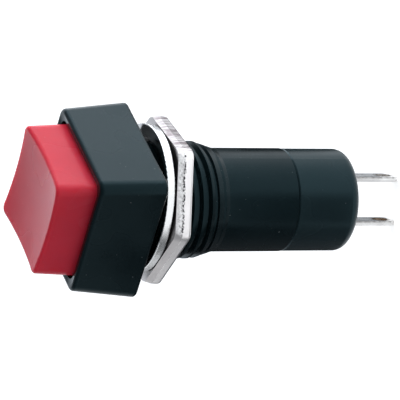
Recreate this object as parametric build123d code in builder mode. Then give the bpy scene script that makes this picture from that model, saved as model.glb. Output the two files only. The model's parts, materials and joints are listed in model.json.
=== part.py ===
"""Panel pushbutton switch: square cap in a square bezel, threaded neck, round barrel, two solder lugs.

Millimetres. +Z points out of the panel, along the button's travel. The origin is the centre of the
bezel's rear face, which seats on the panel.
"""

import os
from math import cos, hypot, radians, sin, sqrt, tan

from build123d import *

# Button cap
cap_skirt_width = 11.45
cap_taper = 0.25
cap_corner_radius = 0.9
cap_face_above_bezel = 4.0
cap_skirt_depth = 2.7
cap_wall = 1.0
cap_top_thickness = 1.3
cap_edge_radius = 0.35
dish_radius = 45.0
socket_wall = 1.1
socket_depth = 3.0

# Bezel, the square head that stays in front of the panel
bezel_height = 7.0
bezel_wall = 0.86
bezel_flare = 0.5
bezel_corner_radius = 1.1
bezel_edge_radius = 0.4
bezel_rear_radius = 0.35
front_slope_drop = 0.1
cap_side_gap = 0.2

# Button travel, and the travel at which the contacts meet
button_travel = 2.8
contact_gap = 1.6
bottom_clearance = 0.05

# Neck and barrel
thread_diameter = 11.9
thread_depth = 0.55
thread_pitch = 1.0
thread_crest_width = 0.3
thread_flank_width = 0.78
thread_first_turn = 0.2
thread_sink = 0.1
thread_runout = 2.5
collar_length = 0.35
collar_chamfer = 0.1
neck_length = 8.6
neck_shoulder = 0.35
barrel_step = 0.14
barrel_length = 7.75
seam_chamfer = 0.12

# Web and bores inside the housing
neck_wall = 1.8
web_top_depth = 2.0
web_thickness = 1.5
mouth_depth = 1.6
mouth_wall = 0.6

# Rear cap
rear_cap_step = 0.04
rear_cap_length = 6.95
rear_edge_radius = 1.0
spigot_wall = 0.62
base_block_height = 3.8

# Plunger and what it carries
stem_chamfer = 0.2
clip_groove_depth = 0.4
clip_thickness = 0.5
clip_side_gap = 0.6
clip_opening_share = 0.75
clip_prong_width = 1.0
disc_side_gap = 0.2
stop_washer_thickness = 0.4
pin_diameter = 1.4
pin_socket_depth = 4.0
pin_head_rim = 0.5
pin_head_thickness = 0.5
pin_head_clearance = 0.2

# Springs
spring_space = 1.6
return_wire = 0.5
return_turns = 6
seat_thickness = 0.3
contact_wire = 0.3
contact_turns = 5
contact_spring_length = 3.6
contact_spring_gap = 0.3

# Terminals, bridge and contact rivets
terminal_angle = 29.0
terminal_thickness = 0.5
terminal_width = 2.6
terminal_projection = 6.2
terminal_bend_radius = 0.45
tab_end_gap = 0.1
lug_hole_diameter = 1.65
lug_hole_from_tip = 1.45
lug_tip_flat = 0.3
contact_diameter = 1.2
contact_edge_gap = 0.1
contact_offset = 0.71
contact_crown = 0.12
contact_shank_diameter = 0.7
contact_head_height = 0.4
contact_tail_diameter = 0.9
contact_tail_height = 0.15
bridge_width = 2.4
bridge_thickness = 0.4
bridge_end_gap = 0.2
bridge_corner_radius = 0.6
bridge_pin_play = 0.1

# Guide ring for the bridge
guide_wall = 0.95
guide_rim_height = 1.0
guide_side_play = 0.15

# Panel washer and hex nut. The nut sits askew on the thread, and the loose washer leans off centre
nut_tilt = 4.2
nut_tilt_direction = 38.0
nut_wall = 1.4
nut_thickness = 1.7
nut_corner_radius = 1.2
nut_rear_edge_radius = 0.3
nut_sheared_share = 0.42
nut_sheared_inset = 0.15
nut_flat_direction = -48.3
nut_play = 0.15
nut_bore_chamfer = 0.25
washer_play = 0.3
washer_band = 1.3
washer_thickness = 0.9
washer_edge_radius = 0.12
washer_centre_depth = 1.22
washer_tilt = 3.3
washer_tilt_direction = 45.0
washer_shift = 0.2
washer_shift_direction = 63.0

# Clearances
fit_gap = 0.02
running_gap = 0.05
seat_gap = 0.03

# Widths worked out from the values above
cap_face_width = cap_skirt_width - 2 * cap_taper
well_width = cap_skirt_width + 2 * cap_side_gap
well_corner_radius = cap_corner_radius + cap_side_gap
bezel_front_width = well_width + 2 * bezel_wall
bezel_rear_width = bezel_front_width + 2 * bezel_flare
slope_width = bezel_front_width - 2 * bezel_edge_radius

# Heights along the axis
cap_face_z = bezel_height + cap_face_above_bezel
cap_skirt_z = bezel_height - cap_skirt_depth
well_floor_z = cap_skirt_z - button_travel - bottom_clearance
cap_roof_z = cap_face_z - cap_top_thickness
socket_end_z = cap_roof_z - socket_depth
web_top_z = -web_top_depth
web_bottom_z = web_top_z - web_thickness
neck_end_z = -neck_length
barrel_end_z = neck_end_z - barrel_length
mouth_top_z = barrel_end_z + mouth_depth
rear_face_z = barrel_end_z - rear_cap_length
block_top_z = rear_face_z + base_block_height
tab_top_z = block_top_z + seat_gap + terminal_thickness
fixed_contact_z = tab_top_z + contact_head_height
moving_contact_z = fixed_contact_z + contact_gap
bridge_bottom_z = moving_contact_z + contact_head_height
bridge_top_z = bridge_bottom_z + bridge_thickness
stem_end_z = bridge_top_z + contact_spring_length
pin_head_z = bridge_bottom_z - fit_gap - pin_head_thickness
pin_well_z = pin_head_z - button_travel - pin_head_clearance
stop_washer_z = web_bottom_z - seat_gap - stop_washer_thickness
clip_z = stop_washer_z - fit_gap - clip_thickness
lug_tip_z = rear_face_z - terminal_projection
guide_top_z = mouth_top_z - seat_gap

# Radii and reaches from the axis
thread_radius = thread_diameter / 2
thread_root_radius = thread_radius - thread_depth
barrel_radius = thread_root_radius - barrel_step
mouth_radius = barrel_radius - mouth_wall
spigot_radius = mouth_radius - fit_gap
cavity_radius = spigot_radius - spigot_wall
rear_cap_radius = barrel_radius - rear_cap_step
chamber_radius = thread_root_radius - neck_wall
disc_radius = chamber_radius - disc_side_gap
clip_radius = chamber_radius - clip_side_gap
stem_radius = chamber_radius - spring_space
clip_groove_radius = stem_radius - clip_groove_depth
stem_hole_radius = stem_radius + running_gap
socket_radius = stem_radius + socket_wall
pin_radius = pin_diameter / 2
bridge_hole_radius = pin_radius + bridge_pin_play
pin_head_radius = bridge_hole_radius + pin_head_rim
pin_well_radius = pin_head_radius + pin_head_clearance
contact_radius = contact_diameter / 2
shank_radius = contact_shank_diameter / 2
tail_radius = contact_tail_diameter / 2
tab_reach = sqrt((cavity_radius - tab_end_gap) ** 2 - (terminal_width / 2) ** 2)
bridge_reach = sqrt((cavity_radius - bridge_end_gap) ** 2 - (bridge_width / 2) ** 2)
contact_reach = tab_reach - contact_edge_gap - contact_radius
blade_middle = contact_reach - contact_offset
nut_bore_radius = thread_radius + nut_play
nut_flat_radius = nut_bore_radius + nut_wall
washer_bore_radius = thread_radius + washer_play
washer_radius = washer_bore_radius + washer_band

# Washer's centre, and the nut's height, which keeps the two leaning faces apart out to the washer's rim
washer_centre = (
    washer_shift * cos(radians(washer_shift_direction)),
    washer_shift * sin(radians(washer_shift_direction)),
    -washer_centre_depth,
)
lean_difference = hypot(
    tan(radians(nut_tilt)) * cos(radians(nut_tilt_direction))
    - tan(radians(washer_tilt)) * cos(radians(washer_tilt_direction)),
    tan(radians(nut_tilt)) * sin(radians(nut_tilt_direction))
    - tan(radians(washer_tilt)) * sin(radians(washer_tilt_direction)),
)
nut_gap = fit_gap + (washer_radius + washer_shift) * lean_difference
nut_centre_z = (
    -washer_centre_depth
    - washer_thickness / 2 / cos(radians(washer_tilt))
    - nut_gap
    - nut_thickness / 2 / cos(radians(nut_tilt))
)

# Level directions: from one terminal to the other, and along their width
terminal_direction = Vector(cos(radians(terminal_angle)), sin(radians(terminal_angle)), 0)
terminal_side = Vector(-sin(radians(terminal_angle)), cos(radians(terminal_angle)), 0)


def terminal_plane(height):
    """Level plane at a height, its X along the line from one terminal to the other."""
    return Plane(origin=(0, 0, height), x_dir=terminal_direction, z_dir=(0, 0, 1))


def leaning_plane(centre, tilt, direction, along=0.0):
    """Plane through a centre, its normal leaning off the axis towards a level direction, in degrees."""
    lean, towards, turn = radians(tilt), radians(direction), radians(along)
    normal = Vector(sin(lean) * cos(towards), sin(lean) * sin(towards), cos(lean))
    return Plane(origin=centre, x_dir=(cos(turn), sin(turn), 0), z_dir=normal)


# Housing: square bezel, threaded neck and barrel in one moulding
with BuildPart() as housing:
    with BuildSketch():
        RectangleRounded(bezel_rear_width, bezel_rear_width, bezel_corner_radius)
    with BuildSketch(Plane.XY.offset(bezel_height)):
        RectangleRounded(bezel_front_width, bezel_front_width, bezel_corner_radius)
    loft()
    fillet(housing.edges().group_by(Axis.Z)[-1], bezel_edge_radius)
    fillet(housing.edges().group_by(Axis.Z)[0], bezel_rear_radius)
    # Square well for the cap, its front rim sloping inwards
    with BuildSketch(Plane.XY.offset(well_floor_z)):
        RectangleRounded(well_width, well_width, well_corner_radius)
    extrude(amount=bezel_height - well_floor_z, mode=Mode.SUBTRACT)
    with BuildSketch(Plane.XY.offset(bezel_height - front_slope_drop)):
        RectangleRounded(well_width, well_width, well_corner_radius)
    with BuildSketch(Plane.XY.offset(bezel_height + front_slope_drop)):
        slope_top_width = 2 * slope_width - well_width
        RectangleRounded(slope_top_width, slope_top_width, bezel_corner_radius)
    loft(mode=Mode.SUBTRACT)
    # Plain collar under the bezel, neck core and barrel
    with BuildSketch(Plane.XZ):
        with BuildLine():
            Polyline(
                (0, well_floor_z),
                (thread_root_radius, well_floor_z),
                (thread_radius, well_floor_z / 2),
                (thread_radius, -collar_length),
                (thread_root_radius, -collar_length - collar_chamfer),
                (thread_root_radius, neck_end_z + neck_shoulder),
                (barrel_radius, neck_end_z),
                (barrel_radius, barrel_end_z + seam_chamfer),
                (barrel_radius - seam_chamfer, barrel_end_z),
                (0, barrel_end_z),
                close=True,
            )
        make_face()
    revolve(axis=Axis.Z)
    # Thread ridge, swept along a right-hand helix
    with BuildLine() as turns:
        Helix(
            pitch=thread_pitch,
            height=neck_length - collar_length - collar_chamfer - thread_first_turn - thread_pitch / 2,
            radius=thread_root_radius,
            center=(0, 0, neck_end_z + thread_first_turn),
        )
    with BuildSketch(Plane(turns.line @ 0, x_dir=(1, 0, 0), z_dir=turns.line % 0)):
        with BuildLine():
            Polyline(
                (-thread_sink, -thread_flank_width / 2),
                (thread_depth, -thread_crest_width / 2),
                (thread_depth, thread_crest_width / 2),
                (-thread_sink, thread_flank_width / 2),
                close=True,
            )
        make_face()
    sweep(path=turns.line, is_frenet=True)
    # The last turns fade into the barrel
    with BuildSketch(Plane.XZ):
        with BuildLine():
            Polyline(
                (barrel_radius, neck_end_z),
                (thread_radius + thread_sink, neck_end_z + thread_runout),
                (thread_radius + thread_sink, neck_end_z - thread_pitch),
                (barrel_radius, neck_end_z - thread_pitch),
                close=True,
            )
        make_face()
    revolve(axis=Axis.Z, mode=Mode.SUBTRACT)
    # Spring pocket, stem hole through the web, chamber, and the mouth for the rear cap
    with BuildSketch(Plane.XZ):
        with BuildLine():
            Polyline(
                (0, bezel_height),
                (chamber_radius, bezel_height),
                (chamber_radius, web_top_z),
                (stem_hole_radius, web_top_z),
                (stem_hole_radius, web_bottom_z),
                (chamber_radius, web_bottom_z),
                (chamber_radius, mouth_top_z),
                (mouth_radius, mouth_top_z),
                (mouth_radius, barrel_end_z),
                (0, barrel_end_z),
                close=True,
            )
        make_face()
    revolve(axis=Axis.Z, mode=Mode.SUBTRACT)

# Button cap: dished face, sides that flare downwards, hollow, with a socket for the stem
with BuildPart() as button_cap:
    with BuildSketch(Plane.XY.offset(cap_skirt_z)):
        RectangleRounded(cap_skirt_width, cap_skirt_width, cap_corner_radius)
    with BuildSketch(Plane.XY.offset(cap_face_z)):
        RectangleRounded(cap_face_width, cap_face_width, cap_corner_radius)
    loft()
    # The dish leaves the face's four corners at full height
    corner_reach = (cap_face_width / 2 - cap_corner_radius) * sqrt(2) + cap_corner_radius
    with Locations((0, 0, cap_face_z + sqrt(dish_radius**2 - corner_reach**2))):
        Sphere(dish_radius, mode=Mode.SUBTRACT)
    fillet(button_cap.faces().filter_by(GeomType.SPHERE)[0].edges(), cap_edge_radius)
    # Hollow inside, and the socket under its roof
    with BuildSketch(Plane.XY.offset(cap_skirt_z)):
        cavity_width = cap_skirt_width - 2 * cap_wall
        RectangleRounded(cavity_width, cavity_width, cap_corner_radius)
    with BuildSketch(Plane.XY.offset(cap_roof_z)):
        roof_width = cap_face_width - 2 * cap_wall
        RectangleRounded(roof_width, roof_width, cap_corner_radius)
    loft(mode=Mode.SUBTRACT)
    with BuildSketch(Plane.XY.offset(socket_end_z)):
        Circle(socket_radius)
        Circle(stem_radius + fit_gap, mode=Mode.SUBTRACT)
    extrude(amount=socket_depth)

# Plunger: round stem with a groove for the clip and a hole for the pin
with BuildPart() as plunger:
    with BuildSketch(Plane.XZ):
        with BuildLine():
            Polyline(
                (0, cap_roof_z - fit_gap),
                (stem_radius - stem_chamfer, cap_roof_z - fit_gap),
                (stem_radius, cap_roof_z - fit_gap - stem_chamfer),
                (stem_radius, clip_z + clip_thickness + fit_gap),
                (clip_groove_radius, clip_z + clip_thickness + fit_gap),
                (clip_groove_radius, clip_z - fit_gap),
                (stem_radius, clip_z - fit_gap),
                (stem_radius, stem_end_z + stem_chamfer),
                (stem_radius - stem_chamfer, stem_end_z),
                (pin_radius + fit_gap, stem_end_z),
                (pin_radius + fit_gap, stem_end_z + pin_socket_depth),
                (0, stem_end_z + pin_socket_depth),
                close=True,
            )
        make_face()
    revolve(axis=Axis.Z)

# Fibre washer between the web and the clip
with BuildPart() as stop_washer:
    with BuildSketch(Plane.XY.offset(stop_washer_z)):
        Circle(disc_radius)
        Circle(stem_hole_radius, mode=Mode.SUBTRACT)
    extrude(amount=stop_washer_thickness)

# Open clip: a ring clear of the stem, with three prongs that reach into its groove
with BuildPart() as retaining_clip:
    with BuildSketch(Plane.XY.offset(clip_z)):
        Circle(clip_radius)
        Circle(stem_hole_radius, mode=Mode.SUBTRACT)
        with PolarLocations(clip_groove_radius, 3, start_angle=60):
            Rectangle(stem_radius, clip_prong_width)
        Circle(clip_groove_radius + fit_gap, mode=Mode.SUBTRACT)
        with Locations((clip_radius, 0)):
            Rectangle(2 * clip_radius, 2 * clip_groove_radius * clip_opening_share, mode=Mode.SUBTRACT)
    extrude(amount=clip_thickness)

# Headed pin pressed into the stem. Its head carries the bridge
with BuildPart() as bridge_pin:
    with BuildSketch(Plane.XZ):
        with BuildLine():
            Polyline(
                (0, stem_end_z + pin_socket_depth - fit_gap),
                (pin_radius, stem_end_z + pin_socket_depth - fit_gap),
                (pin_radius, bridge_bottom_z - fit_gap),
                (pin_head_radius, bridge_bottom_z - fit_gap),
                (pin_head_radius, pin_head_z),
                (0, pin_head_z),
                close=True,
            )
        make_face()
    revolve(axis=Axis.Z)

# Thin washer that the return spring stands on
with BuildPart() as spring_seat:
    with BuildSketch(Plane.XY.offset(web_top_z)):
        Circle(disc_radius)
        Circle(stem_hole_radius, mode=Mode.SUBTRACT)
    extrude(amount=seat_thickness)


def coil_spring(bottom_z, top_z, mean_radius, wire, turn_count):
    """Coil spring that fills the height between two seats."""
    rise = top_z - bottom_z - wire - 2 * seat_gap
    with BuildPart() as spring:
        with BuildLine() as winding:
            Helix(
                pitch=rise / turn_count,
                height=rise,
                radius=mean_radius,
                center=(0, 0, bottom_z + wire / 2 + seat_gap),
            )
        with BuildSketch(Plane(winding.line @ 0, x_dir=(1, 0, 0), z_dir=winding.line % 0)):
            Circle(wire / 2)
        sweep(path=winding.line, is_frenet=True)
    return spring


return_spring = coil_spring(
    web_top_z + seat_thickness,
    socket_end_z,
    (stem_radius + chamber_radius) / 2,
    return_wire,
    return_turns,
)
contact_spring = coil_spring(
    bridge_top_z,
    stem_end_z,
    pin_radius + contact_spring_gap + contact_wire / 2,
    contact_wire,
    contact_turns,
)

# Contact bridge: brass strip with rounded corners, a hole for the pin and one for each rivet
with BuildPart() as contact_bridge:
    with BuildSketch(terminal_plane(bridge_bottom_z)):
        RectangleRounded(2 * bridge_reach, bridge_width, bridge_corner_radius)
        Circle(bridge_hole_radius, mode=Mode.SUBTRACT)
        with GridLocations(2 * contact_reach, 0, 2, 1):
            Circle(shank_radius + fit_gap, mode=Mode.SUBTRACT)
    extrude(amount=bridge_thickness)


def contact_rivet(side, face_z, facing, plate_thickness):
    """Silver rivet on one side, its crowned face up (1) or down (-1), its shank through a plate."""
    place = terminal_direction * (side * contact_reach) + Vector(0, 0, face_z)
    plate_face = contact_head_height - fit_gap
    plate_back = contact_head_height + plate_thickness + fit_gap
    with BuildPart() as rivet:
        with BuildSketch(Plane(place, x_dir=terminal_direction, z_dir=terminal_side * facing)):
            with BuildLine():
                TangentArc((0, 0), (contact_radius, contact_crown), tangent=(1, 0))
                Polyline(
                    (contact_radius, contact_crown),
                    (contact_radius, plate_face),
                    (shank_radius, plate_face),
                    (shank_radius, plate_back),
                    (tail_radius, plate_back),
                    (tail_radius, plate_back + contact_tail_height),
                    (0, plate_back + contact_tail_height),
                    (0, 0),
                )
            make_face()
        revolve(axis=Axis(place, (0, 0, 1)))
    return rivet


moving_contact_a = contact_rivet(1, moving_contact_z, -1, bridge_thickness)
moving_contact_b = contact_rivet(-1, moving_contact_z, -1, bridge_thickness)
fixed_contact_a = contact_rivet(1, fixed_contact_z, 1, terminal_thickness)
fixed_contact_b = contact_rivet(-1, fixed_contact_z, 1, terminal_thickness)


def terminal(side):
    """Brass terminal on one side: a flat blade, and a tab bent outwards that carries the contact."""
    inner = side * (blade_middle - terminal_thickness / 2)
    outer = side * (blade_middle + terminal_thickness / 2)
    reach = side * tab_reach
    tab_bottom_z = tab_top_z - terminal_thickness
    with BuildPart() as blade:
        with BuildSketch(Plane((0, 0, 0), x_dir=terminal_direction, z_dir=-terminal_side)):
            with BuildLine():
                FilletPolyline(
                    (reach, tab_top_z),
                    (inner, tab_top_z),
                    (inner, lug_tip_z),
                    radius=terminal_bend_radius,
                )
                Polyline(
                    (inner, lug_tip_z),
                    (outer, lug_tip_z),
                    (outer, tab_bottom_z),
                    (reach, tab_bottom_z),
                    (reach, tab_top_z),
                )
            make_face()
        extrude(amount=terminal_width / 2, both=True)
        tip_edges = blade.edges().filter_by(Axis((0, 0, 0), terminal_direction)).group_by(Axis.Z)[0]
        fillet(tip_edges, terminal_width / 2 - lug_tip_flat)
        # Hole for the wire, and hole for the contact's shank
        with BuildSketch(Plane((0, 0, 0), x_dir=terminal_side, z_dir=terminal_direction)):
            with Locations((0, lug_tip_z + lug_hole_from_tip)):
                Circle(lug_hole_diameter / 2)
        extrude(amount=reach, mode=Mode.SUBTRACT)
        with BuildSketch(terminal_plane(tab_bottom_z)):
            with Locations((side * contact_reach, 0)):
                Circle(shank_radius + fit_gap)
        extrude(amount=terminal_thickness, mode=Mode.SUBTRACT)
    return blade


terminal_a = terminal(1)
terminal_b = terminal(-1)

# Guide ring in the barrel's mouth: full rim above, two grooves below for the bridge's ends
with BuildPart() as bridge_guide:
    with BuildSketch(Plane.XY.offset(block_top_z + seat_gap)):
        Circle(cavity_radius - fit_gap)
        Circle(cavity_radius - guide_wall, mode=Mode.SUBTRACT)
    extrude(amount=guide_top_z - block_top_z - seat_gap)
    with BuildSketch(terminal_plane(block_top_z)):
        Rectangle(2 * cavity_radius, max(bridge_width, terminal_width - running_gap) + 2 * guide_side_play)
    extrude(amount=guide_top_z - guide_rim_height - block_top_z, mode=Mode.SUBTRACT)

# Rear cap: rounded closed end, spigot into the barrel, block that holds the terminals
with BuildPart() as rear_cap:
    with BuildSketch(Plane.XZ):
        with BuildLine():
            FilletPolyline(
                (0, rear_face_z),
                (rear_cap_radius, rear_face_z),
                (rear_cap_radius, barrel_end_z - fit_gap - seam_chamfer),
                radius=rear_edge_radius,
            )
            Polyline(
                (rear_cap_radius, barrel_end_z - fit_gap - seam_chamfer),
                (rear_cap_radius - seam_chamfer, barrel_end_z - fit_gap),
                (spigot_radius, barrel_end_z - fit_gap),
                (spigot_radius, guide_top_z),
                (cavity_radius, guide_top_z),
                (cavity_radius, block_top_z),
                (pin_well_radius, block_top_z),
                (pin_well_radius, pin_well_z),
                (0, pin_well_z),
                (0, rear_face_z),
            )
        make_face()
    revolve(axis=Axis.Z)
    # Slots for the blades, and a recess for each fixed contact's tail
    with BuildSketch(terminal_plane(rear_face_z)):
        with GridLocations(2 * blade_middle, 0, 2, 1):
            Rectangle(terminal_thickness + 2 * fit_gap, terminal_width + 2 * fit_gap)
    extrude(amount=base_block_height, mode=Mode.SUBTRACT)
    with BuildSketch(terminal_plane(block_top_z)):
        with GridLocations(2 * contact_reach, 0, 2, 1):
            Circle(tail_radius + running_gap)
    extrude(amount=-contact_tail_height - running_gap, mode=Mode.SUBTRACT)

# Panel washer, leaning on the neck between the bezel and the nut
with BuildPart() as panel_washer:
    with BuildSketch(leaning_plane(washer_centre, washer_tilt, washer_tilt_direction)):
        Circle(washer_radius)
        Circle(washer_bore_radius, mode=Mode.SUBTRACT)
    extrude(amount=washer_thickness / 2, both=True)
    fillet(panel_washer.edges().filter_by(GeomType.CIRCLE).group_by(SortBy.RADIUS)[-1], washer_edge_radius)

# Hex nut: blanked from plate, so its front part narrows where it sheared and its rear edge is round
with BuildPart() as hex_nut:
    nut_middle = leaning_plane((0, 0, nut_centre_z), nut_tilt, nut_tilt_direction, nut_flat_direction)
    nut_front = nut_middle.offset(nut_thickness / 2)
    nut_sheared = nut_thickness * nut_sheared_share
    with BuildSketch(nut_front) as narrow_outline:
        RegularPolygon(nut_flat_radius - nut_sheared_inset, 6, major_radius=False, rotation=30)
        fillet(narrow_outline.vertices(), nut_corner_radius)
    with BuildSketch(nut_front.offset(-nut_sheared)) as full_outline:
        RegularPolygon(nut_flat_radius, 6, major_radius=False, rotation=30)
        fillet(full_outline.vertices(), nut_corner_radius)
    loft()
    extrude(full_outline.sketch, amount=nut_sheared - nut_thickness)
    rear_edges = hex_nut.faces().sort_by(Axis((0, 0, 0), nut_front.z_dir))[0].edges()
    fillet(rear_edges, nut_rear_edge_radius)
    with BuildSketch(nut_front):
        Circle(nut_bore_radius)
    extrude(amount=-nut_thickness, mode=Mode.SUBTRACT)
    chamfer(hex_nut.edges().filter_by(GeomType.CIRCLE).group_by(SortBy.RADIUS)[-1], nut_bore_chamfer)

pieces = {
    "housing": housing,
    "button_cap": button_cap,
    "plunger": plunger,
    "stop_washer": stop_washer,
    "retaining_clip": retaining_clip,
    "bridge_pin": bridge_pin,
    "spring_seat": spring_seat,
    "return_spring": return_spring,
    "contact_spring": contact_spring,
    "contact_bridge": contact_bridge,
    "moving_contact_a": moving_contact_a,
    "moving_contact_b": moving_contact_b,
    "fixed_contact_a": fixed_contact_a,
    "fixed_contact_b": fixed_contact_b,
    "terminal_a": terminal_a,
    "terminal_b": terminal_b,
    "bridge_guide": bridge_guide,
    "rear_cap": rear_cap,
    "panel_washer": panel_washer,
    "hex_nut": hex_nut,
}
os.makedirs("parts", exist_ok=True)
for name, piece in pieces.items():
    piece.part.label = name
    export_step(piece.part, f"parts/{name}.step")
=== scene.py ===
"""Looks of the panel pushbutton switch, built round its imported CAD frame.

Metres. +Z points out of the panel. The origin is the centre of the bezel's rear face.
"""

import json
import math

import bmesh
import bpy
from mathutils import Matrix, Vector


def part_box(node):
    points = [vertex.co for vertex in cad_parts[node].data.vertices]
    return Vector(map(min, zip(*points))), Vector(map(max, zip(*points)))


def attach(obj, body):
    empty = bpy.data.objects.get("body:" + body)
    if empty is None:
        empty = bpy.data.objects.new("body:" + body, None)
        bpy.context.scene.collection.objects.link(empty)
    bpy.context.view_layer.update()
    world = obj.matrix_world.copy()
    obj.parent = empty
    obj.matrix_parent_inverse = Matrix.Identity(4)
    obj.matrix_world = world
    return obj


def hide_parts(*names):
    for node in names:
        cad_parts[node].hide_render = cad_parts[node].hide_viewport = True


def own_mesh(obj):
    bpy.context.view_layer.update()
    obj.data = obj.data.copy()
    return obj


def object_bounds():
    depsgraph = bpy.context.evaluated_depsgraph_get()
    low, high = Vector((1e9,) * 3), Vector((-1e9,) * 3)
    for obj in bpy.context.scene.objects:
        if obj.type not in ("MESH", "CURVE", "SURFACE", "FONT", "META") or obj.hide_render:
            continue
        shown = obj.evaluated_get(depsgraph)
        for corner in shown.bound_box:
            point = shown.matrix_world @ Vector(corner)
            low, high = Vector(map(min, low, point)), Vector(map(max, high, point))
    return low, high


MM = 0.001
RANGE_ENDS = ("From Min", "From Max", "To Min", "To Max")

# Azimuths in degrees: the nut's torn flat, its scored flat, and terminal_a
TORN_FLAT = -48.3
SCORED_FLAT = 11.7
LUG_AZIMUTH = 29.0

# The wire holes: their height over the lugs' tips, their distance from the neck's axis, and the radii
# of the stain and of the crushed rim round them
HOLE_FROM_TIP = 1.45 * MM
HOLE_FROM_AXIS = 2.288 * MM
STAIN_RADII = (0.80 * MM, 1.05 * MM)
RIM_INNER = (0.84 * MM, 0.88 * MM)
RIM_OUTER = (1.10 * MM, 1.02 * MM)

# The nut's flats: where the tear starts and its pitted seam starts and ends, as heights from the nut's
# centre, how far the seam wanders, and how deep a rounded corner still counts as flat
TEAR_START = (0.10 * MM, 0.16 * MM)
FRONT_START = (0.10 * MM, 0.17 * MM)
PITS_START = (0.04 * MM, 0.08 * MM)
PITS_END = (0.34 * MM, 0.22 * MM)
SEAM_WANDER = 0.07 * MM
FLAT_DEPTH = 0.06 * MM

# Depths of bumps
GRAIN = 0.0016 * MM
DUST_HEIGHT = 0.004 * MM
STREAK_DEPTH = 0.0015 * MM
WASHER_LINE_DEPTH = 0.006 * MM
LUG_LINE_DEPTH = 0.008 * MM
NUT_RELIEF = 0.015 * MM

# Springs: how finely they are wound, how many coils lie shut at each end, and how far the wire's centre
# line lies from the ground face, in wire diameters
STEPS_PER_TURN = 36
WIRE_SIDES = 14
SHUT_COILS = 1.0
GROUND_SHARE = 0.35

# Light, floor and card
LAMP_COLOUR = (0.94, 0.99, 1.06)
WORLD_COLOUR = (0.92, 0.98, 1.06, 1.0)
LIT_SIDE = (0.2588, 0.9659, 0.0)
SIDE_LEAN = 0.6
OVERHEAD_FALL = (0.46, 0.64, 1.05, 0.30)
FLOOR_GLOW = 0.70
FLOOR_REACH = 3.0
CARD_REACH = 140 * MM
CARD_LIFT = 0.2 * MM

# Camera
SENSOR_WIDTH = 36.0
FOCAL_LENGTH = 378.0
CAMERA_PLACE = (0.2388, -0.3057, 0.1651)
CAMERA_AHEAD = (-0.5624, 0.7198, -0.4067)
CAMERA_UPWARD = (0.7880, 0.6157, 0.0)

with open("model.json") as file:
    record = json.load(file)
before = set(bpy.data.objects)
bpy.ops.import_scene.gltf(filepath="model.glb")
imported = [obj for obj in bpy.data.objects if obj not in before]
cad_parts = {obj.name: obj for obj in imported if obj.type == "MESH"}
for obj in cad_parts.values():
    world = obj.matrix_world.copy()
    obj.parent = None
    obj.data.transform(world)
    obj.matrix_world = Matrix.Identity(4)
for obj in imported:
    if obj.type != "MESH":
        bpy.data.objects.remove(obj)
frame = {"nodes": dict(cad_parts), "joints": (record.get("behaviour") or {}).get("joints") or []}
nodes = frame["nodes"]
joints = {joint["name"]: joint for joint in frame["joints"]}
cad_box = [list(corner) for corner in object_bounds()]

# The nut's own axis, which leans off the neck, and its centre
nut_axis = Vector(joints["nut_turn"]["axis"]).normalized()
nut_centre = Vector(joints["nut_turn"]["pos_m"])


def level(azimuth):
    """Level direction of an azimuth in degrees."""
    return Vector((math.cos(math.radians(azimuth)), math.sin(math.radians(azimuth)), 0.0))


def nut_flat(azimuth):
    """Normal of the nut's flat that faces an azimuth in degrees."""
    out = level(azimuth)
    return (out - nut_axis * out.dot(nut_axis)).normalized()


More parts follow.
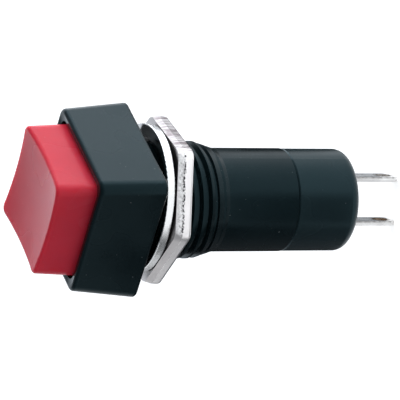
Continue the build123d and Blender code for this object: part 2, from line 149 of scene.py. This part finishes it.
class Look:
    """One procedural material: a node tree, and short calls that add to it."""

    def __init__(self, name):
        self.material = bpy.data.materials.new(name)
        self.material.use_nodes = True
        self.tree = self.material.node_tree
        self.tree.nodes.clear()
        self.output = self.tree.nodes.new("ShaderNodeOutputMaterial")
        self.place = self.add("ShaderNodeTexCoord").outputs["Object"]

    def add(self, kind, settings=None, **inputs):
        """A node, with settings as its attributes, and inputs by name as values or as sockets."""
        made = self.tree.nodes.new(kind)
        for key, value in (settings or {}).items():
            setattr(made, key, value)
        for key, value in inputs.items():
            self.feed(made.inputs[key.replace("_", " ")], value)
        return made

    def feed(self, socket, value):
        """Sets an input to a value, or links it to a socket."""
        if isinstance(value, bpy.types.NodeSocket):
            self.tree.links.new(value, socket)
        else:
            socket.default_value = value

    def maths(self, operation, first, second=0.0):
        made = self.add("ShaderNodeMath", {"operation": operation})
        self.feed(made.inputs[0], first)
        self.feed(made.inputs[1], second)
        return made.outputs[0]

    def plus(self, first, second):
        return self.maths("ADD", first, second)

    def minus(self, first, second):
        return self.maths("SUBTRACT", first, second)

    def times(self, first, second):
        return self.maths("MULTIPLY", first, second)

    def largest(self, first, *others):
        for other in others:
            first = self.maths("MAXIMUM", first, other)
        return first

    def reach(self, first, second):
        """Distance from two distances that are square to each other."""
        total = self.plus(self.maths("POWER", first, 2.0), self.maths("POWER", second, 2.0))
        return self.maths("POWER", total, 0.5)

    def inverse(self, share):
        """What a share from 0 to 1 leaves."""
        return self.span(share, 0.0, 1.0, 1.0, 0.0)

    def dot(self, direction, origin=(0, 0, 0)):
        """How far a point lies from an origin along a fixed direction, in metres."""
        moved = self.add("ShaderNodeVectorMath", {"operation": "SUBTRACT"})
        self.feed(moved.inputs[0], self.place)
        moved.inputs[1].default_value = origin
        made = self.add("ShaderNodeVectorMath", {"operation": "DOT_PRODUCT"})
        self.feed(made.inputs[0], moved.outputs[0])
        made.inputs[1].default_value = direction
        return made.outputs["Value"]

    def noise(self, scale, detail, stretch=(1, 1, 1)):
        """Noise in object space, its features squeezed along each axis by stretch."""
        mapping = self.add("ShaderNodeMapping")
        self.feed(mapping.inputs["Vector"], self.place)
        mapping.inputs["Scale"].default_value = stretch
        made = self.add("ShaderNodeTexNoise", Scale=scale, Detail=detail)
        self.feed(made.inputs["Vector"], mapping.outputs[0])
        return made.outputs[0]

    def span(self, value, low, high, out_low=0.0, out_high=1.0, smooth=False):
        """A value mapped from one range to another, and held at its ends."""
        made = self.add("ShaderNodeMapRange")
        made.interpolation_type = "SMOOTHSTEP" if smooth else "LINEAR"
        for key, number in zip(RANGE_ENDS, (low, high, out_low, out_high)):
            made.inputs[key].default_value = number
        self.feed(made.inputs["Value"], value)
        return made.outputs[0]

    def mix(self, share, first, second):
        """Two colours mixed by a share."""
        made = self.add("ShaderNodeMix", {"data_type": "RGBA"})
        self.feed(made.inputs[0], share)
        for socket, colour in ((made.inputs[6], first), (made.inputs[7], second)):
            self.feed(socket, (*colour, 1.0) if isinstance(colour, tuple) else colour)
        return made.outputs[2]

    def bump(self, height, depth, normal=None):
        """A bump of a real depth in metres."""
        made = self.add("ShaderNodeBump", Strength=1.0, Distance=depth)
        self.feed(made.inputs["Height"], height)
        if normal:
            self.feed(made.inputs["Normal"], normal)
        return made.outputs[0]

    def surface(self, colour, roughness, normal, **constants):
        """The finished surface. What is the same all over is set on the shader's own sockets."""
        varying = {"Base_Color": colour, "Roughness": roughness, "Normal": normal}
        return self.finish(self.add("ShaderNodeBsdfPrincipled", **varying, **constants))

    def matt(self, colour):
        return self.add("ShaderNodeBsdfDiffuse", Color=colour)

    def partly(self, share, first, second):
        """Two shaders, and how much of the second shows."""
        made = self.add("ShaderNodeMixShader")
        self.feed(made.inputs[0], share)
        self.tree.links.new(first.outputs[0], made.inputs[1])
        self.tree.links.new(second.outputs[0], made.inputs[2])
        return made

    def finish(self, shader):
        self.tree.links.new(shader.outputs[0], self.output.inputs["Surface"])
        return self.material


def moulded_plastic(name, light, dark, smooth, dull, grain, **constants):
    """Moulded plastic: slight mottling, worn patches, a fine grain and a few specks of dust."""
    look = Look(name)
    mottle = look.span(look.noise(220.0, 4.0), 0.3, 0.7)
    patches = look.span(look.noise(130.0, 2.0), 0.35, 0.7, smooth=True)
    specks = look.span(look.noise(5200.0, 0.0), 0.86, 0.90)
    dust_colour = (0.45, 0.46, 0.46)
    colour = look.mix(look.times(specks, 0.25), look.mix(mottle, dark, light), dust_colour)
    roughness = look.plus(look.span(patches, 0.0, 1.0, smooth, dull), look.times(specks, 0.3))
    fine = look.bump(look.noise(6500.0, 2.0), grain)
    return look.surface(colour, roughness, look.bump(specks, DUST_HEIGHT, fine), **constants)


def metal(name, light, dark, smooth, dull, streaks=(1, 1, 1)):
    """Plated or bare metal: clouded colour and roughness, with fine streaks left by working it."""
    look = Look(name)
    cloud = look.span(look.noise(180.0, 4.0), 0.3, 0.7)
    lines = look.noise(1500.0, 3.0, streaks)
    roughness = look.plus(
        look.span(cloud, 0.0, 1.0, smooth, dull), look.span(lines, 0.3, 0.7, -0.05, 0.05)
    )
    normal = look.bump(lines, STREAK_DEPTH)
    return look.surface(look.mix(cloud, dark, light), roughness, normal, Metallic=1.0)


def washer_metal():
    """Bright plated washer: faces that shine like a mirror and whose colour is painted dark as the
    shade under the bezel, and a duller blanked edge.
    """
    look = Look("washer_metal")
    low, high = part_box("panel_washer")
    middle, radius = (low + high) / 2, (high.x - low.x) / 2
    out = look.reach(look.dot(Vector((1, 0, 0)), middle), look.dot(Vector((0, 1, 0)), middle))
    edge = look.span(out, radius - 0.08 * MM, radius - 0.03 * MM)
    cloud = look.span(look.noise(420.0, 4.0), 0.3, 0.7)
    lines = look.noise(2600.0, 3.0, (1, 1, 0.12))
    # The faces' colour is painted shade: the same plating as the edge, made far darker
    painted_shade_face_colour = look.mix(cloud, (0.36, 0.36, 0.36), (0.44, 0.44, 0.44))
    edge_colour = look.mix(cloud, (0.86, 0.86, 0.85), (0.94, 0.94, 0.93))
    roughness = look.plus(
        look.span(edge, 0.0, 1.0, 0.06, 0.24), look.span(cloud, 0.0, 1.0, 0.0, 0.08)
    )
    normal = look.bump(look.times(lines, edge), WASHER_LINE_DEPTH)
    return look.surface(look.mix(edge, painted_shade_face_colour, edge_colour), roughness, normal, Metallic=1.0)


def nut_metal():
    """Bright plated nut: two opposite flats scored, and two torn grey where they sheared."""
    look = Look("nut_metal")
    nut = nodes["hex_nut"]
    half_width = max(
        abs(nut_flat(TORN_FLAT).dot(nut.matrix_world @ vertex.co - nut_centre))
        for vertex in nut.data.vertices
    )

    def on_flats(azimuth, depth):
        """Where the flat that faces an azimuth lies, and the one opposite."""
        out = look.maths("ABSOLUTE", look.dot(nut_flat(azimuth), nut_centre))
        return look.span(out, half_width - depth, half_width - FLAT_DEPTH)

    height = look.dot(nut_axis, nut_centre)
    on_torn = on_flats(TORN_FLAT, 0.20 * MM)
    on_scored = on_flats(SCORED_FLAT, 0.35 * MM)

    # The front of the torn flats, behind a wandering seam
    wander = look.span(look.noise(900.0, 2.0), 0.3, 0.7, -SEAM_WANDER, SEAM_WANDER)
    edge = look.plus(height, wander)
    torn = look.times(look.span(edge, *TEAR_START), on_torn)

    # Dark pits where the smooth cut turned into the tear, and fainter ones over the tear
    seam = look.times(look.span(edge, *PITS_START), look.span(edge, *PITS_END))
    dots = look.span(look.noise(5200.0, 1.0), 0.47, 0.53)
    pits = look.times(look.times(seam, dots), on_torn)
    pocks = look.times(look.span(look.noise(6200.0, 2.0), 0.58, 0.66, 0.0, 0.5), torn)

    # Scores along the nut's axis, which fade in and out
    lines = look.span(look.noise(6000.0, 1.0, (1, 1, 0.03)), 0.45, 0.53, 1.0, 0.0)
    strength = look.span(look.noise(500.0, 2.0), 0.30, 0.50, 0.2, 1.0)
    scores = look.times(look.times(lines, on_scored), strength)

    crumble = look.noise(3400.0, 4.0)
    cloud = look.span(look.noise(320.0, 3.0), 0.3, 0.7)
    front = look.times(look.span(height, *FRONT_START), look.inverse(on_torn))
    front = look.times(front, look.span(on_scored, 0.0, 1.0, 1.0, 0.8))

    plate = look.mix(cloud, (0.84, 0.81, 0.80), (0.95, 0.92, 0.91))
    plate = look.mix(on_scored, plate, (0.68, 0.65, 0.645))
    plate = look.mix(front, plate, (0.44, 0.42, 0.415))
    plate = look.mix(look.times(scores, 0.9), plate, (0.20, 0.16, 0.17))
    grey = look.mix(look.span(crumble, 0.36, 0.64), (0.60, 0.58, 0.57), (0.96, 0.94, 0.92))
    colour = look.mix(torn, plate, grey)
    colour = look.mix(look.largest(pits, pocks), colour, (0.035, 0.032, 0.035))

    roughness = look.plus(
        look.span(torn, 0.0, 1.0, 0.33, 0.44), look.span(cloud, 0.0, 1.0, 0.05, -0.05)
    )
    relief = look.times(crumble, look.span(torn, 0.0, 1.0, 0.12, 0.8))
    relief = look.minus(look.minus(relief, scores), pits)
    return look.surface(colour, roughness, look.bump(relief, NUT_RELIEF), Metallic=1.0)


def lug_metal(name, node, side, brown):
    """Tin-plated brass lug: bright tin, with the brass and flux showing round its wire hole."""
    look = Look(name)
    out = level(LUG_AZIMUTH)
    hole_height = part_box("terminal_a")[0].z + HOLE_FROM_TIP
    hole = out * (side * HOLE_FROM_AXIS) + Vector((0, 0, hole_height))
    points = [vertex.co - hole for vertex in nodes[node].data.vertices if vertex.co.z < hole_height]
    half_width = max(abs(point.y * out.x - point.x * out.y) for point in points)
    half_thick = max(abs(point.dot(out)) for point in points)

    across = look.dot(Vector((-out.y, out.x, 0.0)), hole)
    from_hole = look.reach(across, look.dot(Vector((0, 0, 1)), hole))
    ragged = look.span(look.noise(1700.0, 3.0), 0.3, 0.7, -0.14 * MM, 0.14 * MM)
    stain = look.span(look.plus(from_hole, ragged), *STAIN_RADII, brown, 0.0)
    cloud = look.span(look.noise(700.0, 4.0), 0.35, 0.65)
    lines = look.noise(1900.0, 3.0, (1, 1, 0.06))

    # Painted shadow of a burr along the sheared corner, and the crushed rim of the hole
    painted_burr_shadow = look.times(
        look.span(look.dot(out, hole), half_thick - 0.17 * MM, half_thick - 0.11 * MM),
        look.span(
            look.maths("ABSOLUTE", across), half_width - 0.06 * MM, half_width - 0.02 * MM
        ),
    )
    rim = look.times(look.span(from_hole, *RIM_INNER), look.span(from_hole, *RIM_OUTER))
    speckle = look.span(look.noise(2600.0, 2.0), 0.42, 0.56)
    painted_burr_shadow = look.times(painted_burr_shadow, look.span(speckle, 0.0, 1.0, 0.35, 0.65))
    dark = look.largest(painted_burr_shadow, look.times(rim, speckle))

    tin = look.mix(cloud, (0.66, 0.65, 0.64), (0.90, 0.89, 0.87))
    scored = look.mix(look.span(lines, 0.42, 0.60, 0.55, 0.0), tin, (0.34, 0.33, 0.33))
    colour = look.mix(stain, scored, (0.46, 0.33, 0.22))
    colour = look.mix(dark, colour, (0.10, 0.09, 0.085))
    roughness = look.plus(
        look.span(cloud, 0.0, 1.0, 0.20, 0.32), look.span(lines, 0.3, 0.7, -0.06, 0.06)
    )
    return look.surface(colour, roughness, look.bump(lines, LUG_LINE_DEPTH), Metallic=1.0)


def dress(node, material):
    """Gives a CAD node its material."""
    slots = nodes[node].data.materials
    slots.clear()
    slots.append(material)


red = moulded_plastic(
    "red_plastic", (0.73, 0.038, 0.068), (0.68, 0.032, 0.058), 0.24, 0.36, GRAIN,
    Specular_IOR_Level=0.15, Subsurface_Weight=0.6, Subsurface_Radius=(1.0, 0.10, 0.10),
    Subsurface_Scale=2.0 * MM
)
black = moulded_plastic(
    "black_plastic", (0.0038, 0.0088, 0.0100), (0.0026, 0.0065, 0.0078), 0.20, 0.34, GRAIN,
    Specular_IOR_Level=0.21, Specular_Tint=(0.50, 0.88, 1.0, 1.0)
)
rear_black = moulded_plastic(
    "rear_cap_plastic", (0.0115, 0.0215, 0.0240), (0.0090, 0.0180, 0.0205), 0.22, 0.36, GRAIN,
    Specular_IOR_Level=0.25, Specular_Tint=(0.50, 0.88, 1.0, 1.0)
)
guide_black = moulded_plastic(
    "guide_plastic", (0.020, 0.022, 0.022), (0.012, 0.013, 0.013), 0.45, 0.6, 0.003 * MM
)
natural = moulded_plastic(
    "natural_acetal", (0.80, 0.78, 0.70), (0.72, 0.70, 0.62), 0.32, 0.45, 0.002 * MM,
    Subsurface_Weight=0.1
)
fibre = moulded_plastic(
    "vulcanised_fibre", (0.32, 0.075, 0.04), (0.20, 0.045, 0.025), 0.6, 0.8, 0.01 * MM
)
strip_steel = metal("strip_steel", (0.60, 0.60, 0.60), (0.42, 0.42, 0.42), 0.28, 0.42)
wire_steel = metal("wire_steel", (0.62, 0.62, 0.61), (0.45, 0.45, 0.44), 0.22, 0.34, (0.2, 0.2, 1))
brass = metal("bare_brass", (0.78, 0.56, 0.24), (0.64, 0.44, 0.17), 0.25, 0.40, (0.1, 1, 1))
silver = metal("contact_silver", (0.90, 0.89, 0.86), (0.74, 0.72, 0.68), 0.28, 0.45)

looks = {
    "button_cap": red,
    "housing": black,
    "rear_cap": rear_black,
    "bridge_guide": guide_black,
    "plunger": natural,
    "stop_washer": fibre,
    "retaining_clip": strip_steel,
    "spring_seat": strip_steel,
    "bridge_pin": brass,
    "contact_bridge": brass,
    "panel_washer": washer_metal(),
    "hex_nut": nut_metal(),
    "terminal_a": lug_metal("lug_metal_a", "terminal_a", 1, 0.2),
    "terminal_b": lug_metal("lug_metal_b", "terminal_b", -1, 0.9),
    "moving_contact_a": silver,
    "moving_contact_b": silver,
    "fixed_contact_a": silver,
    "fixed_contact_b": silver,
}
for node_name, look_of_node in looks.items():
    dress(node_name, look_of_node)


def wound_spring(name, node, body, wire, turns, anchor):
    """Compression spring with shut, ground ends."""
    low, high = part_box(node)
    bottom, top = min(low.z, anchor), max(high.z, anchor)
    radius = (high.x - low.x) / 2 - wire / 2
    middle = Vector(((low.x + high.x) / 2, (low.y + high.y) / 2, 0.0))
    ground = GROUND_SHARE * wire
    spread = (top - bottom) - 2 * ground - 2 * SHUT_COILS * wire
    mesh = bpy.data.meshes.new(name)
    build = bmesh.new()
    rings = []
    for i in range(int((turns + 2 * SHUT_COILS) * STEPS_PER_TURN) + 1):
        turn = i / STEPS_PER_TURN
        # Each end coil lies against its neighbour, and the open coils share what is left
        shut = min(turn, SHUT_COILS) + max(0.0, turn - SHUT_COILS - turns)
        open_share = min(max((turn - SHUT_COILS) / turns, 0.0), 1.0)
        height = bottom + ground + shut * wire + open_share * spread
        angle = 2 * math.pi * i / STEPS_PER_TURN
        out = Vector((math.cos(angle), math.sin(angle), 0.0))
        ring = []
        for k in range(WIRE_SIDES):
            around = 2 * math.pi * k / WIRE_SIDES
            point = middle + out * (radius + wire / 2 * math.cos(around))
            # The ends are ground flat
            point.z = min(max(height + wire / 2 * math.sin(around), bottom), top)
            ring.append(build.verts.new(point))
        rings.append(ring)
    for first, second in zip(rings, rings[1:]):
        for k in range(WIRE_SIDES):
            after = (k + 1) % WIRE_SIDES
            build.faces.new((first[k], first[after], second[after], second[k]))
    build.faces.new(reversed(rings[0]))
    build.faces.new(rings[-1])
    bmesh.ops.recalc_face_normals(build, faces=build.faces)
    build.to_mesh(mesh)
    build.free()
    for face in mesh.polygons:
        face.use_smooth = True
    mesh.materials.append(wire_steel)
    spring = bpy.data.objects.new(name, mesh)
    bpy.context.scene.collection.objects.link(spring)
    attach(spring, body)
    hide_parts(node)
    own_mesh(spring)


wound_spring(
    "wound_return_spring", "return_spring", "housing", wire=0.5 * MM, turns=5.0,
    anchor=-0.0017
)
wound_spring(
    "wound_contact_spring", "contact_spring", "plunger", wire=0.3 * MM, turns=4.0,
    anchor=-0.01257
)


def level_sheet(name, height, reach, material):
    """Square level sheet round the neck's axis."""
    corners = [(-reach, -reach), (reach, -reach), (reach, reach), (-reach, reach)]
    mesh = bpy.data.meshes.new(name)
    mesh.from_pydata([(x, y, height) for x, y in corners], [], [(0, 1, 2, 3)])
    mesh.materials.append(material)
    sheet = bpy.data.objects.new(name, mesh)
    bpy.context.scene.collection.objects.link(sheet)
    return sheet


def floor_look():
    """Pale floor, seen white, which keeps the switch's shadow and is clear from below."""
    look = Look("pale_floor")
    clouds = look.span(look.noise(40.0, 3.0), 0.3, 0.7)
    tone = look.mix(clouds, (0.86, 0.86, 0.86), (0.90, 0.90, 0.90))
    rays = look.add("ShaderNodeLightPath").outputs
    seen = look.largest(
        rays["Is Camera Ray"], rays["Is Glossy Ray"], rays["Is Transmission Ray"]
    )
    glow = look.add("ShaderNodeEmission", Strength=look.times(seen, FLOOR_GLOW))
    both = look.add("ShaderNodeAddShader")
    look.tree.links.new(look.matt(tone).outputs[0], both.inputs[0])
    look.tree.links.new(glow.outputs[0], both.inputs[1])
    # Clear from below, so that the underside of the switch can be looked at
    below = look.add("ShaderNodeNewGeometry").outputs["Backfacing"]
    return look.finish(look.partly(below, both, look.add("ShaderNodeBsdfTransparent")))


def painted_shade_card_look():
    """Grey patches of painted shade round the foot of the switch, for reflections, clear elsewhere."""
    look = Look("painted_shade_card")
    east, north = look.dot(Vector((-1, 0, 0))), look.dot(Vector((0, -1, 0)))
    turn = look.maths("ARCTAN2", north, east)
    far = look.reach(east, north)

    def patch(first, last, near, beyond):
        """Where a stretch of the card lies, by azimuths from -X in degrees and by radii in mm."""
        soft_turn, soft_reach = math.radians(9.0), 2 * MM
        first, last = math.radians(first), math.radians(last)
        near, beyond = near * MM, beyond * MM
        sides = look.times(
            look.span(turn, first - soft_turn, first + soft_turn),
            look.span(turn, last + soft_turn, last - soft_turn),
        )
        ends = look.times(
            look.span(far, near - soft_reach, near + soft_reach),
            look.span(far, beyond + soft_reach, beyond - soft_reach),
        )
        return look.times(sides, ends)

    def fade(first, last, one, other):
        """A grey that turns into another between two azimuths from -X."""
        share = look.span(turn, math.radians(first), math.radians(last))
        return look.mix(share, (one,) * 3, (other,) * 3)

    behind = look.largest(
        patch(-98.0, 75.0, 14, 85), patch(-108.0, -70.0, 14, 54), patch(36.0, 75.0, 70, 135)
    )
    spots = (
        (patch(75.0, 138.0, 18, 50), 0.24),
        (patch(-122.0, -88.0, 56, 80), 0.26),
        (patch(-110.0, 0.0, -4, 15), 0.55),
    )
    near_tone, far_tone = fade(-30.0, 30.0, 0.02, 0.30), fade(-60.0, 0.0, 0.03, 0.12)
    tone = look.mix(look.span(far, 54 * MM, 60 * MM), near_tone, far_tone)
    for there, grey in spots:
        tone = look.mix(there, tone, (grey,) * 3)
    there = look.largest(behind, *(spot[0] for spot in spots))
    clear = look.add("ShaderNodeBsdfTransparent")
    return look.finish(look.partly(there, clear, look.matt(tone)))


def soft_lamp(name, azimuth, distance, width, height, watts, target):
    """Level rectangular area lamp aimed at the switch from an azimuth in degrees."""
    data = bpy.data.lights.new(name, "AREA")
    data.shape = "RECTANGLE"
    data.size, data.size_y, data.energy = width, height, watts
    data.color = LAMP_COLOUR
    lamp = bpy.data.objects.new(name, data)
    bpy.context.scene.collection.objects.link(lamp)
    out = level(azimuth)
    lamp.location = Vector(target) + out * distance
    lamp.rotation_mode = "QUATERNION"
    lamp.rotation_quaternion = out.to_track_quat("Z", "Y")
    lamp.visible_camera = False


def studio_world():
    """Plain studio light: brighter low down than overhead, and on the side of the lamp."""
    world = bpy.data.worlds.new("studio")
    world.use_nodes = True
    sky = world.node_tree
    background = sky.nodes["Background"]
    background.inputs["Color"].default_value = WORLD_COLOUR
    direction = sky.nodes.new("ShaderNodeTexCoord").outputs["Generated"]
    split = sky.nodes.new("ShaderNodeSeparateXYZ")
    sky.links.new(direction, split.inputs[0])
    overhead = sky.nodes.new("ShaderNodeMapRange")
    for key, number in zip(RANGE_ENDS, OVERHEAD_FALL):
        overhead.inputs[key].default_value = number
    sky.links.new(split.outputs["Z"], overhead.inputs["Value"])
    sideways = sky.nodes.new("ShaderNodeVectorMath")
    sideways.operation = "DOT_PRODUCT"
    sky.links.new(direction, sideways.inputs[0])
    sideways.inputs[1].default_value = LIT_SIDE
    leaning = sky.nodes.new("ShaderNodeMath")
    leaning.operation = "MULTIPLY_ADD"
    sky.links.new(sideways.outputs["Value"], leaning.inputs[0])
    leaning.inputs[1].default_value, leaning.inputs[2].default_value = SIDE_LEAN, 1.0
    strength = sky.nodes.new("ShaderNodeMath")
    strength.operation = "MULTIPLY"
    sky.links.new(overhead.outputs[0], strength.inputs[0])
    sky.links.new(leaning.outputs[0], strength.inputs[1])
    sky.links.new(strength.outputs[0], background.inputs["Strength"])
    return world


floor_height = cad_box[0][2]
floor = level_sheet("floor", floor_height, FLOOR_REACH, floor_look())

# Only the gloss sees the card: it paints shade into reflections, which keeps the dark sides dark
gloss_shade_card = level_sheet("painted_shade_card", floor_height + CARD_LIFT, CARD_REACH, painted_shade_card_look())
gloss_shade_card.visible_camera = gloss_shade_card.visible_diffuse = False
gloss_shade_card.visible_shadow = gloss_shade_card.visible_transmission = False

soft_lamp(
    "side_lamp", azimuth=45.0, distance=0.062, width=0.12, height=0.050, watts=0.033,
    target=(0, 0, floor_height + 0.026)
)
bpy.context.scene.world = studio_world()

# Camera: rolled so that the switch lies along it with its button to the left
camera_data = bpy.data.cameras.new("camera")
camera_data.sensor_width = SENSOR_WIDTH
camera_data.lens = FOCAL_LENGTH
camera_data.clip_start, camera_data.clip_end = 0.01, 10.0
camera = bpy.data.objects.new("camera", camera_data)
bpy.context.scene.collection.objects.link(camera)
ahead = Vector(CAMERA_AHEAD).normalized()
right = ahead.cross(Vector(CAMERA_UPWARD)).normalized()
up = right.cross(ahead)
turned = Matrix((right, up, -ahead)).transposed().to_4x4()
camera.matrix_world = Matrix.Translation(CAMERA_PLACE) @ turned
bpy.context.scene.camera = camera
bpy.context.scene.view_settings.view_transform = "Standard"
